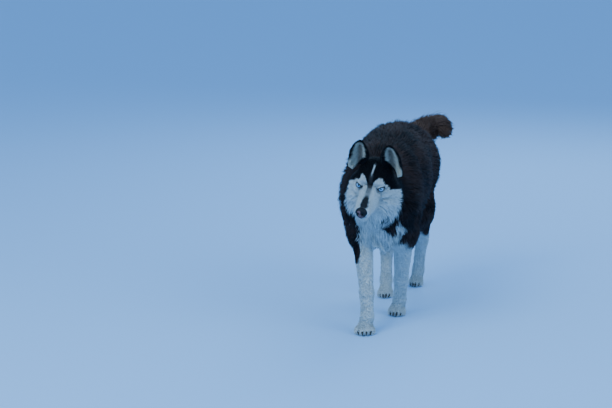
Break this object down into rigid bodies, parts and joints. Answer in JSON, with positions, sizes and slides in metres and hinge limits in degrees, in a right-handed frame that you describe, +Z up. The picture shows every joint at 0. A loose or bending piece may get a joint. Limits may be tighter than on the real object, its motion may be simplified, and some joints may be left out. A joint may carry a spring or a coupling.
{
  "type": "siberian husky",
  "caption": "Life-size still model of a black and white Siberian husky walking, head low and level, tail curled.",
  "frame": {"origin": "on the floor below the middle of the model's box", "axes": "+Z up, the dog faces -Y, its left side is +X, its length runs along Y"},
  "size_m": [0.3214, 0.9772, 0.644],
  "materials": {
    "fur_dark": "black to dark brown coat",
    "fur_white": "white coat, a little cream",
    "fur_brown": "reddish brown coat with dark tips",
    "nose": "black, moist, with pink patches",
    "eye": "wet, ice blue iris",
    "claw": "dark keratin, satin"
  },
  "bodies": {
    "root": {"head": "fur_dark", "muzzle": "fur_white", "nose": "nose", "ear_right": "fur_dark", "eye_right": "eye", "ear_left": "fur_dark", "eye_left": "eye", "neck": "fur_white", "torso": "fur_dark", "foreleg_right_upper": "fur_white", "foreleg_right_lower": "fur_white", "claw_foreleg_right_1": "claw", "claw_foreleg_right_2": "claw", "claw_foreleg_right_3": "claw", "claw_foreleg_right_4": "claw", "paw_foreleg_right": "fur_white", "foreleg_left_upper": "fur_white", "foreleg_left_lower": "fur_white", "claw_foreleg_left_1": "claw", "claw_foreleg_left_2": "claw", "claw_foreleg_left_3": "claw", "claw_foreleg_left_4": "claw", "paw_foreleg_left": "fur_white", "hindleg_right_upper": "fur_white", "hindleg_right_lower": "fur_white", "claw_hindleg_right_1": "claw", "claw_hindleg_right_2": "claw", "claw_hindleg_right_3": "claw", "claw_hindleg_right_4": "claw", "paw_hindleg_right": "fur_white", "hindleg_left_upper": "fur_white", "hindleg_left_lower": "fur_white", "claw_hindleg_left_1": "claw", "claw_hindleg_left_2": "claw", "claw_hindleg_left_3": "claw", "claw_hindleg_left_4": "claw", "paw_hindleg_left": "fur_white", "tail": "fur_brown", "tail_tip": "fur_brown"}
  },
  "joints": []
}
